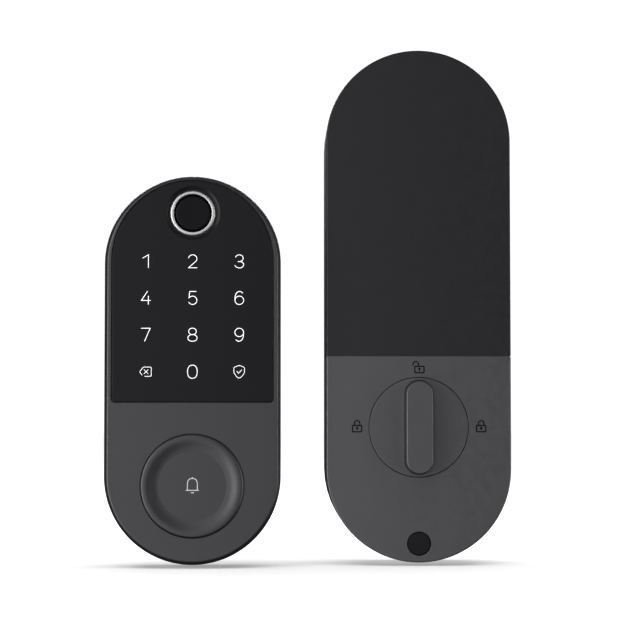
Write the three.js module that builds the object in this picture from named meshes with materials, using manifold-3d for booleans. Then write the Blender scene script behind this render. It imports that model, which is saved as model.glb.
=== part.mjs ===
// Keypad smart lock for a door: the exterior unit (keypad, fingerprint reader, doorbell push) and the interior
// unit (thumb turn, gear drive, battery bay) set side by side, both facing -Y, each standing on its round end.
// Millimetres, +Z up. The origin is under the middle of the pair, on the surface they stand on.
import * as THREE from "three";
import { mergeVertices } from "three/addons/utils/BufferGeometryUtils.js";
import Module from "manifold-3d";

// ---------------------------------------------------------------- driving dimensions

const GAP = 0.3; // clearance between pieces that only touch
const PAST = 0.2; // how far a cutting tool runs past the face it cuts
const ARC_STEPS = 12; // curve divisions of an outline; a half circle gets twice as many

// The pair. Each unit has its own frame: x = 0 on its centre line, z = 0 at its foot, y = 0 on the door's face.
const UNIT_SPACING = 86; // between the two centre lines
const EXTERIOR_DOOR_Y = -19.5;
const INTERIOR_DOOR_Y = 6.5;

const EXTERIOR = { width: 66.4, height: 146.4, depth: 24, wall: 2.4, face: 3.6, edge: 1.7 };
const INTERIOR = { width: 70.8, height: 196.6, depth: 36, wall: 2.4, face: 3, edge: 0.6 };

// Exterior unit
const PANEL = { halfWidth: 30.2, bottom: 61.1, top: 144.4, corner: 1.3, thick: 2, seam: 0.45 };
const SENSOR_Z = 132.2; // fingerprint sensor's centre
const BELL_Z = 29.6; // doorbell push, on the axis of the door's bore
const BELL = { radius: 19.3, bore: 19.65, proud: 1, travel: 1 };
const SHELL_BACK = -1.8; // rear rim of the housing
const PLATE_THICK = 3;
const GASKET_THICK = 1.5;
const BOSS_X = 24;
const UPPER_BOSS_Z = 112;
const LOWER_BOSS_Z = 55;
const POST_X = 20; // threaded posts for the through bolts
const BELL_BOARD_Y = -10.9; // front of the lower circuit board
const KEYPAD_BOARD_Y = -18.1;
const GROMMET_Z = 45;
const PORT_Y = -12.8; // emergency power port, in the foot

// Interior unit
const SEAM_Z = 78.5; // top of the lower housing
const SEAM = 0.35; // between the lower housing and the battery cover
const TONGUE = { inset: 1.1, height: 1.2 }; // ridge on the lower housing that stands inside the cover's edge
const TURN_Z = 51.5; // thumb turn axis
const TURN = { disc: 18.85, bore: 19.25, flange: 21, gripWidth: 11.1, gripLength: 36.2, gripHeight: 7 };
const PLUG = { z: 7.2, radius: 4.3, hole: 4.6, length: 6 };
const COVER = { wall: 2, face: 2.2 };
const BASE_DEPTH = 9;
const CHASSIS = { inset: 2.4, front: -33.4, back: -9.3 };
const FIXING_X = 14; // screws that hold the unit on its mounting plate, under the battery cover
const FIXING_Z = 165;
const MOUNTING_PLATE_THICK = 2;
const TAIL_LENGTH = 38; // tailpiece, past the door's face

// Battery bay: four AA cells side by side, alternate cells upside down
const CELL = { radius: 7.1, body: 49.2, nub: 1.1, nubRadius: 2.7, pitch: 14.9, y: -25.2 };
const BAY = { halfWidth: 30.3, bottom: 86, top: 143.6, floor: -17.2 };
const CONTACT_THICK = 0.5;

// Gear drive: output gear on the turn shaft, compound idler, motor pinion
const MODULE = 1;
const TEETH = { output: 36, idlerPinion: 12, idlerWheel: 28, motor: 10 };
const PRESSURE = THREE.MathUtils.degToRad(25);
const ADDENDUM = 0.8;
const DEDENDUM = 1.05;
const BACKLASH = 0.28;
const SPREAD = 0.1; // added to each centre distance
const OUTPUT_LAYER = [-30.6, -26.2];
const WHEEL_LAYER = [-25.9, -22.4];
const GEAR_PLATE = [-20.9, -19.3];
const IDLER_ANGLE = THREE.MathUtils.degToRad(225);
const MOTOR_ANGLE = THREE.MathUtils.degToRad(-8);
const SHAFT_RADIUS = 6;
const MOTOR = { radius: 11, front: -19, back: -6.9 };
const GEAR_POSTS = [
  [-27.5, 66],
  [27.5, 66],
  [-25, 18],
  [25, 18],
];

// ---------------------------------------------------------------- materials

const finish = (color, roughness, metalness) => new THREE.MeshStandardMaterial({ color, roughness, metalness });
const GREY_PAINT = finish(0x4a4b4d, 0.5, 0.3);
const BLACK_GLASS = finish(0x232426, 0.12, 0);
const BLACK_PLASTIC = finish(0x2c2d2f, 0.5, 0);
const DARK_PLASTIC = finish(0x1b1b1c, 0.7, 0);
const RUBBER = finish(0x1a1a1a, 0.9, 0);
const STEEL = finish(0xb4b6b8, 0.3, 1);
const BRASS = finish(0xb59a55, 0.35, 1);
const WHITE_PLASTIC = finish(0xe6e6e2, 0.6, 0);
const BOARD = finish(0x1d5a3a, 0.55, 0);
const CELL_JACKET = finish(0x3d6f8c, 0.4, 0.2);

// ---------------------------------------------------------------- solids

const wasm = await Module();
wasm.setup();

// A closed three.js geometry as a manifold-3d solid, turned inside out where its faces point inwards.
function solid(geometry) {
  const bare = geometry.clone();
  bare.deleteAttribute("normal");
  bare.deleteAttribute("uv");
  const merged = mergeVertices(bare, 1e-4);
  const corners = [];
  for (let i = 0; i < merged.index.count; i += 3) {
    const [a, b, c] = [0, 1, 2].map((k) => merged.index.getX(i + k));
    if (a !== b && b !== c && c !== a) corners.push([a, b, c]);
  }
  const build = (triangles) =>
    new wasm.Manifold(
      new wasm.Mesh({
        numProp: 3,
        vertProperties: merged.attributes.position.array,
        triVerts: new Uint32Array(triangles.flat()),
      }),
    );
  const made = build(corners);
  return made.volume() > 0 ? made : build(corners.map(([a, b, c]) => [a, c, b]));
}

function geometryOf(body) {
  const mesh = body.getMesh();
  const geometry = new THREE.BufferGeometry();
  geometry.setAttribute("position", new THREE.BufferAttribute(mesh.vertProperties, 3));
  geometry.setIndex(new THREE.BufferAttribute(mesh.triVerts, 1));
  geometry.computeVertexNormals();
  return geometry;
}

const join = (first, ...others) => others.reduce((sum, next) => sum.add(next), first);
const cut = (first, ...tools) => tools.reduce((left, tool) => left.subtract(tool), first);

// A front-view outline (its x and y are the unit's x and z) as a slab from depth front to depth back.
function slab(shape, front, back, steps = ARC_STEPS) {
  const geometry = new THREE.ExtrudeGeometry(shape, {
    depth: back - front,
    bevelEnabled: false,
    curveSegments: steps,
  });
  return solid(geometry.rotateX(Math.PI / 2).translate(0, back, 0));
}

// The same with the front edge rounded.
function roundedSlab(shape, front, back, edge, steps = ARC_STEPS) {
  const geometry = new THREE.ExtrudeGeometry(shape, {
    depth: back - front,
    bevelThickness: edge,
    bevelSize: edge,
    bevelOffset: -edge,
    bevelSegments: 2,
    curveSegments: steps,
  });
  geometry.rotateX(Math.PI / 2).translate(0, back + edge, 0);
  return cut(solid(geometry), block([-200, 200], [back, back + 50], [-50, 300]));
}

function block([x0, x1], [y0, y1], [z0, z1]) {
  const geometry = new THREE.BoxGeometry(x1 - x0, y1 - y0, z1 - z0);
  return solid(geometry.translate((x0 + x1) / 2, (y0 + y1) / 2, (z0 + z1) / 2));
}

// A profile of [radius, y] turned about the y axis, then moved to (x, z).
function turned(profile, x = 0, z = 0, steps = 24) {
  const points = profile.map(([radius, y]) => new THREE.Vector2(radius, y));
  return solid(new THREE.LatheGeometry(points, steps).translate(x, 0, z));
}

const rod = (radius, front, back, x = 0, z = 0, steps = 20) =>
  turned(
    [
      [0, front],
      [radius, front],
      [radius, back],
      [0, back],
    ],
    x,
    z,
    steps,
  );

class Helix extends THREE.Curve {
  constructor(radius, length, turns) {
    super();
    Object.assign(this, { radius, length, turns });
  }
  getPoint(t, target = new THREE.Vector3()) {
    const angle = 2 * Math.PI * this.turns * t;
    return target.set(this.radius * Math.cos(angle), this.radius * Math.sin(angle), this.length * t);
  }
}

// A compression spring along +z, from 0 to its length.
function coil(radius, wire, length, turns, stepsPerTurn) {
  const section = new THREE.Shape().absarc(0, 0, wire, 0, 2 * Math.PI, false);
  const geometry = new THREE.ExtrudeGeometry(section, {
    steps: Math.round(turns * stepsPerTurn),
    curveSegments: 3,
    extrudePath: new Helix(radius, length - 2 * wire, turns),
  });
  return solid(geometry.translate(0, 0, wire));
}

// ---------------------------------------------------------------- outlines

// A unit's front outline: straight sides between two half circles, drawn in by inset all round.
function stadium({ width, height }, inset = 0) {
  const radius = width / 2 - inset;
  const low = width / 2;
  const high = height - width / 2;
  return new THREE.Shape()
    .moveTo(radius, low)
    .lineTo(radius, high)
    .absarc(0, high, radius, 0, Math.PI, false)
    .lineTo(-radius, low)
    .absarc(0, low, radius, Math.PI, 2 * Math.PI, false);
}

// The keypad panel: a half-round top and two small bottom corners.
function panelOutline(inset = 0) {
  const half = PANEL.halfWidth - inset;
  const bottom = PANEL.bottom + inset;
  const springing = PANEL.top - PANEL.halfWidth;
  const corner = PANEL.corner;
  return new THREE.Shape()
    .moveTo(half, bottom + corner)
    .lineTo(half, springing)
    .absarc(0, springing, half, 0, Math.PI, false)
    .lineTo(-half, bottom + corner)
    .absarc(corner - half, bottom + corner, corner, Math.PI, 1.5 * Math.PI, false)
    .lineTo(half - corner, bottom)
    .absarc(half - corner, bottom + corner, corner, 1.5 * Math.PI, 2 * Math.PI, false);
}

// A slot with round ends, centred on (x, z): length along x, or along z where upright.
function slotOutline(x, z, length, width, upright = false) {
  const reach = length / 2 - width / 2;
  const radius = width / 2;
  if (upright)
    return new THREE.Shape()
      .moveTo(x + radius, z - reach)
      .lineTo(x + radius, z + reach)
      .absarc(x, z + reach, radius, 0, Math.PI, false)
      .lineTo(x - radius, z - reach)
      .absarc(x, z - reach, radius, Math.PI, 2 * Math.PI, false);
  return new THREE.Shape()
    .moveTo(x - reach, z - radius)
    .lineTo(x + reach, z - radius)
    .absarc(x + reach, z, radius, -Math.PI / 2, Math.PI / 2, false)
    .lineTo(x - reach, z + radius)
    .absarc(x - reach, z, radius, Math.PI / 2, 1.5 * Math.PI, false);
}

// An involute spur gear's outline with stub teeth, one tooth centred on angle turn, thinned for backlash.
function gearOutline(teeth, turn) {
  const pitch = (MODULE * teeth) / 2;
  const base = pitch * Math.cos(PRESSURE);
  const tip = pitch + ADDENDUM * MODULE;
  const root = pitch - DEDENDUM * MODULE;
  const involute = (radius) => {
    const angle = Math.acos(Math.min(1, base / radius));
    return Math.tan(angle) - angle;
  };
  const halfAtPitch = Math.PI / (2 * teeth) - BACKLASH / (2 * pitch);
  const halfAt = (radius) => halfAtPitch + involute(pitch) - involute(Math.max(radius, base));
  const radii = base > root + 0.2 ? [root, base, pitch, tip] : [root, pitch, tip];
  const flank = radii.map((radius) => [radius, halfAt(radius)]);
  const points = [];
  for (let tooth = 0; tooth < teeth; tooth += 1) {
    const centre = turn + (2 * Math.PI * tooth) / teeth;
    const outline = [...flank.map(([r, half]) => [r, -half]), ...flank.toReversed()];
    for (const [radius, offset] of outline) {
      points.push(new THREE.Vector2(radius * Math.cos(centre + offset), radius * Math.sin(centre + offset)));
    }
  }
  return points;
}

function gear(teeth, turn, [front, back], x, z) {
  const shape = new THREE.Shape(gearOutline(teeth, turn));
  return slab(shape, front, back).translate(x, 0, z);
}

// ---------------------------------------------------------------- assembly helpers

const lock = new THREE.Group();
const exterior = new THREE.Group();
const interior = new THREE.Group();
const middle = (EXTERIOR.width - INTERIOR.width) / 4; // of the two centre lines, when the pair's box is centred
exterior.position.set(middle - UNIT_SPACING / 2, EXTERIOR_DOOR_Y, 0);
interior.position.set(middle + UNIT_SPACING / 2, INTERIOR_DOOR_Y, 0);
lock.add(exterior, interior);

function piece(unit, name, body, material, position = [0, 0, 0]) {
  const mesh = new THREE.Mesh(geometryOf(body), material);
  mesh.name = name;
  mesh.position.set(...position);
  unit.add(mesh);
  return mesh;
}

// A pan-head screw seen from its head: head from y = -head to 0, shank from 0 to length.
function screw(headRadius, headHeight, shankRadius, length) {
  const body = turned(
    [
      [0, -headHeight],
      [headRadius * 0.7, -headHeight],
      [headRadius, -headHeight * 0.55],
      [headRadius, 0],
      [shankRadius, 0],
      [shankRadius, length - shankRadius],
      [0, length],
    ],
    0,
    0,
    10,
  );
  const arm = headRadius * 0.55;
  const blade = headRadius * 0.13;
  const bottom = -headHeight * 0.5;
  return cut(
    body,
    block([-arm, arm], [-headHeight - 1, bottom], [-blade, blade]),
    block([-blade, blade], [-headHeight - 1, bottom], [-arm, arm]),
  );
}

// ---------------------------------------------------------------- exterior unit

const FRONT = -EXTERIOR.depth;
const FACE_BACK = FRONT + EXTERIOR.face;
const BOSS_BACK = SHELL_BACK - PLATE_THICK - GAP;

function exteriorHousing() {
  const boss = (x, z, front) => {
    const side = Math.sign(x);
    const reach = [side * BOSS_X, side * (EXTERIOR.width / 2 - EXTERIOR.wall / 2)].toSorted((a, b) => a - b);
    return join(rod(2.8, front, BOSS_BACK, x, z, 16), block(reach, [front, BOSS_BACK], [z - 1, z + 1]));
  };
  const bosses = [-1, 1].flatMap((side) => [
    boss(side * BOSS_X, LOWER_BOSS_Z, FACE_BACK - 1),
    boss(side * BOSS_X, UPPER_BOSS_Z, KEYPAD_BOARD_Y + 1.4 + GAP),
  ]);
  const pilots = [-1, 1].flatMap((side) =>
    [LOWER_BOSS_Z, UPPER_BOSS_Z].map((z) => rod(1.2, -13, BOSS_BACK + PAST, side * BOSS_X, z, 12)),
  );
  const shell = cut(
    roundedSlab(stadium(EXTERIOR), FRONT, SHELL_BACK, EXTERIOR.edge),
    slab(stadium(EXTERIOR, EXTERIOR.wall), FACE_BACK, SHELL_BACK + PAST),
    slab(panelOutline(-PANEL.seam), FRONT - PAST, FRONT + PANEL.thick + GAP),
    slab(panelOutline(2.2), FRONT, FACE_BACK + PAST),
    rod(BELL.bore, FRONT - PAST, FACE_BACK + PAST, 0, BELL_Z, 40),
    slab(slotOutline(0, 0, 9.6, 3.8), -4, PAST, 6).rotate([-90, 0, 0]).translate(0, PORT_Y, 0),
  );
  return cut(join(shell, ...bosses), ...pilots);
}

// The panel's recess round the fingerprint sensor slopes down to a ledge, then the sensor's hole goes through.
function keypadPanel() {
  const recess = turned(
    [
      [0, FRONT - PAST],
      [10.5, FRONT - PAST],
      [10.4, FRONT],
      [9.4, FRONT + 0.8],
      [8.7, FRONT + 0.8],
      [8.7, FRONT + PANEL.thick + PAST],
      [0, FRONT + PANEL.thick + PAST],
    ],
    0,
    SENSOR_Z,
    32,
  );
  return cut(roundedSlab(panelOutline(), FRONT, FRONT + PANEL.thick, 0.25), recess);
}

const fingerprintBezel = () =>
  turned(
    [
      [6.7, -23.2],
      [7.5, -24.3],
      [8.0, -24.2],
      [8.4, -23.5],
      [8.4, -21.6],
      [9.6, -21.6],
      [9.6, -20.4],
      [6.7, -20.4],
      [6.7, -23.2],
    ],
    0,
    SENSOR_Z,
    32,
  );

const fingerprintSensor = () =>
  turned(
    [
      [0, -23.3],
      [6.0, -23.25],
      [6.4, -22.9],
      [6.4, -17.4],
      [0, -17.4],
    ],
    0,
    SENSOR_Z,
    28,
  );

function lightGuide() {
  const back = KEYPAD_BOARD_Y - GAP;
  return cut(slab(panelOutline(2.6), -21.6, back), rod(10, -22, back + PAST, 0, SENSOR_Z));
}

function keypadBoard() {
  const board = cut(
    slab(panelOutline(3), KEYPAD_BOARD_Y, KEYPAD_BOARD_Y + 1.4, 8),
    rod(9.5, KEYPAD_BOARD_Y - 1, KEYPAD_BOARD_Y + 2, 0, SENSOR_Z),
  );
  const chip = block([-5, 5], [KEYPAD_BOARD_Y + 1.3, KEYPAD_BOARD_Y + 2.6], [80, 90]);
  return join(board, chip);
}

// The doorbell push: a raised rim round a shallow dish, a retaining flange and a pusher for the switch.
const doorbellButton = () =>
  turned(
    [
      [0, -23.2],
      [12.2, -23.2],
      [14.2, -23.45],
      [16.0, -24.1],
      [17.3, -24.8],
      [18.2, -25],
      [18.9, -24.85],
      [19.3, -24.3],
      [19.3, -20.1],
      [21, -20.1],
      [21, -18.7],
      [17.3, -18.7],
      [17.3, -21.2],
      [3, -21.2],
      [3, -16.9],
      [0, -16.9],
    ],
    0,
    BELL_Z,
    40,
  );

const doorbellSwitch = () => {
  const back = BELL_BOARD_Y - GAP;
  const body = block([-3.1, 3.1], [back - 3, back], [BELL_Z - 3.1, BELL_Z + 3.1]);
  return join(body, rod(1.8, back - 4.4, back - 2.5, 0, BELL_Z, 16));
};

function exteriorBoard() {
  const back = BELL_BOARD_Y + 1.4;
  const outline = slab(stadium(EXTERIOR, 3.4), BELL_BOARD_Y, back);
  const board = outline.intersect(block([-21, 21], [-12, -9], [5, 50]));
  return join(board, block([-14, -6], [back - 0.1, back + 1.2], [14, 22]));
}

const POST_FLANGE = BOSS_BACK - 2;
const threadedPost = () =>
  turned(
    [
      [0, POST_FLANGE],
      [6, POST_FLANGE],
      [6, BOSS_BACK],
      [4, BOSS_BACK],
      [4, 8],
      [2.1, 8],
      [2.1, -4],
      [0, -4.8],
    ],
    0,
    0,
    20,
  );

function exteriorBackPlate() {
  const front = SHELL_BACK - PLATE_THICK;
  const through = (radius, x, z) => rod(radius, front - PAST, SHELL_BACK + PAST, x, z, 20);
  const screwSeats = [-1, 1].flatMap((side) =>
    [LOWER_BOSS_Z, UPPER_BOSS_Z].flatMap((z) => [
      through(1.3, side * BOSS_X, z),
      rod(2.8, SHELL_BACK - 2, SHELL_BACK + PAST, side * BOSS_X, z, 16),
    ]),
  );
  return cut(
    slab(stadium(EXTERIOR, EXTERIOR.wall + GAP), front, SHELL_BACK),
    through(4 + GAP, -POST_X, BELL_Z),
    through(4 + GAP, POST_X, BELL_Z),
    through(5 + GAP, 0, GROMMET_Z),
    ...screwSeats,
  );
}

const exteriorGasket = () =>
  cut(
    slab(stadium(EXTERIOR, 0.6), -GASKET_THICK, 0),
    slab(stadium(EXTERIOR, 5.2), -GASKET_THICK - PAST, PAST),
  );

const cableGrommet = () =>
  turned(
    [
      [3.4, -6.3],
      [6.6, -6.3],
      [6.6, BOSS_BACK],
      [5, BOSS_BACK],
      [5, -1.5],
      [6.6, -1.5],
      [6.6, -0.4],
      [3.4, -0.4],
      [3.4, -6.3],
    ],
    0,
    GROMMET_Z,
    20,
  );

function emergencyPowerPort() {
  const shell = (width, height, low, high) =>
    slab(slotOutline(0, 0, width, height), -high, -low, 6).rotate([-90, 0, 0]).translate(0, PORT_Y, 0);
  const tongue = block([-3.3, 3.3], [PORT_Y - 0.35, PORT_Y + 0.35], [2.2, 8]);
  return join(cut(shell(8.9, 3.2, 1.4, 8.9), shell(8.3, 2.6, 1, 7.4)), tongue);
}

function buildExterior() {
  piece(exterior, "exterior_housing", exteriorHousing(), GREY_PAINT);
  piece(exterior, "keypad_panel", keypadPanel(), BLACK_GLASS);
  piece(exterior, "fingerprint_bezel", fingerprintBezel(), STEEL);
  piece(exterior, "fingerprint_sensor", fingerprintSensor(), BLACK_GLASS);
  piece(exterior, "keypad_light_guide", lightGuide(), WHITE_PLASTIC);
  piece(exterior, "keypad_board", keypadBoard(), BOARD);
  piece(exterior, "doorbell_button", doorbellButton(), GREY_PAINT);
  const spring = coil(9, 0.45, 9.6, 3, 12).rotate([-90, 0, 0]);
  piece(exterior, "doorbell_spring", spring, STEEL, [0, -20.8, BELL_Z]);
  piece(exterior, "doorbell_switch", doorbellSwitch(), DARK_PLASTIC);
  piece(exterior, "exterior_board", exteriorBoard(), BOARD);
  piece(exterior, "speaker", rod(7.5, BOSS_BACK - 5, BOSS_BACK, 0, 100, 24), DARK_PLASTIC);
  piece(exterior, "exterior_back_plate", exteriorBackPlate(), DARK_PLASTIC);
  piece(exterior, "exterior_gasket", exteriorGasket(), RUBBER);
  piece(exterior, "cable_grommet", cableGrommet(), RUBBER);
  piece(exterior, "emergency_power_port", emergencyPowerPort(), STEEL);
  const post = threadedPost();
  piece(exterior, "mounting_post_left", post, BRASS, [-POST_X, 0, BELL_Z]);
  piece(exterior, "mounting_post_right", post, BRASS, [POST_X, 0, BELL_Z]);
  const backScrew = screw(2.4, 1.4, 0.9, 7.5).rotate([0, 0, 180]);
  const seats = [LOWER_BOSS_Z, UPPER_BOSS_Z].flatMap((z) => [-BOSS_X, BOSS_X].map((x) => [x, -3.5, z]));
  seats.forEach((seat, i) => piece(exterior, `exterior_screw_${i + 1}`, backScrew, STEEL, seat));
}

// ---------------------------------------------------------------- interior unit

const FACE = -INTERIOR.depth;
const SHELL_END = -BASE_DEPTH - GAP;
const COUNTERBORE = -12.5; // depth where the fixing screws' heads seat
const IDLER = centreFrom([0, TURN_Z], TEETH.output + TEETH.idlerPinion, IDLER_ANGLE);
const ROTOR = centreFrom(IDLER, TEETH.idlerWheel + TEETH.motor, MOTOR_ANGLE);

function centreFrom([x, z], teethTogether, angle) {
  const distance = (MODULE * teethTogether) / 2 + SPREAD;
  return [x + distance * Math.cos(angle), z + distance * Math.sin(angle)];
}

function interiorHousing() {
  const below = (height) => block([-60, 60], [-60, 20], [-20, height]);
  const shell = roundedSlab(stadium(INTERIOR), FACE, SHELL_END, INTERIOR.edge).intersect(below(SEAM_Z));
  const inside = slab(stadium(INTERIOR, INTERIOR.wall), FACE + INTERIOR.face, SHELL_END + PAST);
  const bossFront = FACE + INTERIOR.face - 1;
  const posts = GEAR_POSTS.map(([x, z]) => rod(2.6, bossFront, GEAR_PLATE[0] - GAP, x, z, 12));
  const pilots = GEAR_POSTS.map(([x, z]) => rod(1.15, -29, GEAR_PLATE[0], x, z, 8));
  const pinBoss = rod(2.4, bossFront, -31.2, ...IDLER, 12);
  const screwTube = rod(6, bossFront, SHELL_END, 0, PLUG.z, 24);
  const ridge = slab(stadium(INTERIOR, TONGUE.inset), FACE + TONGUE.inset, SHELL_END).intersect(
    block([-60, 60], [-60, 20], [SEAM_Z - 0.5, SEAM_Z + TONGUE.height]),
  );
  return cut(
    join(cut(shell, inside.intersect(below(SEAM_Z - INTERIOR.wall))), ridge, ...posts, pinBoss, screwTube),
    rod(TURN.bore, FACE - PAST, FACE + INTERIOR.face + 1, 0, TURN_Z, 40),
    rod(PLUG.hole, FACE - PAST, COUNTERBORE, 0, PLUG.z, 24),
    rod(1.9, COUNTERBORE - 1, SHELL_END + PAST, 0, PLUG.z, 12),
    ...pilots,
  );
}

const LIP = { inner: 31.6, front: -13.2, back: -11.6 }; // ribs inside the cover that run in the chassis's channels

function batteryCover() {
  const bottom = SEAM_Z + SEAM;
  const above = block([-60, 60], [-60, 20], [bottom, 300]);
  const rebate = slab(stadium(INTERIOR, TONGUE.inset - GAP), FACE + TONGUE.inset - GAP, SHELL_END + PAST);
  const shell = cut(
    roundedSlab(stadium(INTERIOR), FACE, SHELL_END, INTERIOR.edge),
    slab(stadium(INTERIOR, COVER.wall), FACE + COVER.face, SHELL_END + PAST),
    rebate.intersect(block([-60, 60], [-60, 20], [0, SEAM_Z + TONGUE.height + GAP])),
  ).intersect(above);
  const lips = [-1, 1].map((side) => {
    const across = [side * LIP.inner, side * (INTERIOR.width / 2 - 1)].toSorted((a, b) => a - b);
    return block(across, [LIP.front, LIP.back], [bottom + 2, 156]);
  });
  return join(shell, ...lips);
}

function fixingHoles(radius, front, back) {
  const places = [[0, PLUG.z], [-FIXING_X, FIXING_Z], [FIXING_X, FIXING_Z]];
  return places.map(([x, z]) => rod(radius, front, back, x, z, 12));
}

function interiorBase() {
  const web = [-4.8, -MOUNTING_PLATE_THICK - GAP];
  return cut(
    slab(stadium(INTERIOR), -BASE_DEPTH, 0),
    slab(stadium(INTERIOR, INTERIOR.wall), -BASE_DEPTH - PAST, web[0]),
    slab(stadium(INTERIOR, INTERIOR.wall), web[1], PAST),
    rod(10.5, web[0] - PAST, web[1] + PAST, 0, TURN_Z),
    slab(slotOutline(0, 70, 16, 9), web[0] - PAST, web[1] + PAST, 6),
    ...fixingHoles(2, web[0] - PAST, web[1] + PAST),
  );
}

function mountingPlate() {
  const front = -MOUNTING_PLATE_THICK;
  const through = (shape) => slab(shape, front - PAST, PAST, 6);
  const boltSlots = [-20, 20].map((x) => through(slotOutline(x, TURN_Z, 9, 5.8)));
  const woodScrews = [100, 140].map((z) => rod(2.2, front - PAST, PAST, 0, z, 12));
  return cut(
    slab(stadium(INTERIOR, INTERIOR.wall + GAP), front, 0),
    rod(9.5, front - PAST, PAST, 0, TURN_Z),
    through(slotOutline(0, 70, 14, 8)),
    ...boltSlots,
    ...woodScrews,
    ...fixingHoles(1.9, front - PAST, PAST),
  );
}

// The inner chassis: battery bay from the front, board space from the back, tubes for the two upper fixing screws.
function interiorChassis() {
  const bottom = SEAM_Z + TONGUE.height + GAP;
  const back = CHASSIS.back;
  const above = (height) => block([-60, 60], [-60, 20], [height, 300]);
  const body = slab(stadium(INTERIOR, CHASSIS.inset), CHASSIS.front, back).intersect(above(bottom));
  const bay = block(
    [-BAY.halfWidth, BAY.halfWidth],
    [CHASSIS.front - PAST, BAY.floor],
    [BAY.bottom, BAY.top],
  );
  const boardSpace = slab(stadium(INTERIOR, 5.2), -15.7, back + PAST).intersect(above(82));
  const topSpace = slab(stadium(INTERIOR, 5.2), CHASSIS.front + 1.8, back + PAST).intersect(above(148));
  const channels = [-1, 1].map((side) => {
    const across = [side * (LIP.inner - 0.4), side * 40].toSorted((a, b) => a - b);
    return block(across, [LIP.front - 0.4, LIP.back + 0.4], [bottom - 5, 176]);
  });
  const ribs = [-1, 0, 1].map((n) =>
    block([n * CELL.pitch - 0.6, n * CELL.pitch + 0.6], [-21.5, BAY.floor + 0.5], [BAY.bottom + 9, BAY.top - 9]),
  );
  const sides = [-FIXING_X, FIXING_X];
  const tubes = sides.map((x) => rod(5.6, CHASSIS.front + 1, back, x, FIXING_Z, 20));
  const bores = sides.flatMap((x) => [
    rod(4.2, CHASSIS.front - PAST, COUNTERBORE, x, FIXING_Z, 20),
    rod(1.9, COUNTERBORE - 1, back + PAST, x, FIXING_Z, 12),
  ]);
  return cut(join(cut(body, bay, boardSpace, topSpace, ...channels), ...ribs, ...tubes), ...bores);
}

function interiorBoard() {
  const [front, back] = [-13.4, -12];
  const outline = slab(stadium(INTERIOR, 6), front, back);
  const board = outline.intersect(block([-40, 40], [-20, 0], [84, 185]));
  const tubeHoles = [-FIXING_X, FIXING_X].map((x) => rod(6, front - 1, back + 1, x, FIXING_Z, 16));
  const radioShield = block([-9, 9], [back - 0.1, back + 2], [140, 152]);
  const driver = block([-20, -12], [back - 0.1, back + 1.4], [104, 112]);
  return join(cut(board, ...tubeHoles), radioShield, driver);
}

// One AA cell standing on z = 0, with its nub on top.
function batteryCell() {
  const { radius, body, nub, nubRadius } = CELL;
  const profile = [
    [0, 0],
    [radius - 0.6, 0],
    [radius, 0.6],
    [radius, body - 0.8],
    [radius - 0.8, body],
    [nubRadius, body],
    [nubRadius, body + nub],
    [0, body + nub],
  ];
  return turned(profile, 0, 0, 24).rotate([90, 0, 0]);
}

function buildBatteries() {
  const cell = batteryCell();
  const springLength = 4.6;
  const spring = coil(3.6, 0.35, springLength, 3, 8);
  const springZ = BAY.bottom + GAP + CONTACT_THICK + GAP;
  const bodyZ = springZ + springLength + GAP;
  const middle = (BAY.bottom + BAY.top) / 2;
  [-1.5, -0.5, 0.5, 1.5].forEach((place, i) => {
    const x = place * CELL.pitch;
    const upsideDown = i % 2 === 1;
    const stand = (z) => [x, CELL.y, upsideDown ? 2 * middle - z : z];
    const battery = piece(interior, `battery_${i + 1}`, cell, CELL_JACKET, stand(bodyZ));
    const contact = piece(interior, `battery_spring_${i + 1}`, spring, STEEL, stand(springZ));
    if (upsideDown) [battery, contact].forEach((mesh) => mesh.rotateX(Math.PI));
  });
  const strip = (cells) => {
    const reach = ((cells - 1) * CELL.pitch + 9) / 2;
    return block([-reach, reach], [-4.5, 4.5], [0, CONTACT_THICK]);
  };
  const low = BAY.bottom + GAP;
  const high = BAY.top - GAP - CONTACT_THICK;
  const contacts = [
    [2, -1, low],
    [2, 1, low],
    [1, -1.5, high],
    [2, 0, high],
    [1, 1.5, high],
  ];
  contacts.forEach(([cells, place, z], i) =>
    piece(interior, `battery_contact_${i + 1}`, strip(cells), STEEL, [place * CELL.pitch, CELL.y, z]),
  );
}

// The thumb turn: a disc flush with the housing, a retaining flange behind it, and the grip standing on its face.
function thumbTurn() {
  const disc = turned(
    [
      [0, FACE],
      [TURN.disc - 0.3, FACE],
      [TURN.disc, FACE + 0.3],
      [TURN.disc, -32.7],
      [TURN.flange, -32.7],
      [TURN.flange, -31.2],
      [0, -31.2],
    ],
    0,
    TURN_Z,
    40,
  );
  const outline = slotOutline(0, TURN_Z, TURN.gripLength, TURN.gripWidth, true);
  return join(disc, roundedSlab(outline, FACE - TURN.gripHeight, FACE + 1, 1.1, 8));
}

const turnShaft = () =>
  cut(
    rod(SHAFT_RADIUS, -30.9, -5.5, 0, TURN_Z, 24),
    block([-1.4, 1.4], [-19, -5], [TURN_Z - 4.3, TURN_Z + 4.3]),
  );

const tailpiece = () => block([-1.1, 1.1], [-18.7, TAIL_LENGTH], [TURN_Z - 4, TURN_Z + 4]);

const outputGear = () =>
  cut(
    gear(TEETH.output, IDLER_ANGLE, OUTPUT_LAYER, 0, TURN_Z),
    rod(SHAFT_RADIUS + GAP, -40, -20, 0, TURN_Z, 24),
  );

// The idler's pinion has a gap facing the output gear's tooth, and its wheel a tooth facing the motor pinion.
function idlerGear() {
  const toOutput = IDLER_ANGLE + Math.PI;
  const pinionTurn = toOutput + Math.PI / TEETH.idlerPinion;
  const pinion = gear(TEETH.idlerPinion, pinionTurn, [-30.2, WHEEL_LAYER[0] + 0.5], ...IDLER);
  const wheel = gear(TEETH.idlerWheel, MOTOR_ANGLE, WHEEL_LAYER, ...IDLER);
  return cut(join(pinion, wheel), rod(1.8, -40, -10, ...IDLER, 12));
}

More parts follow.
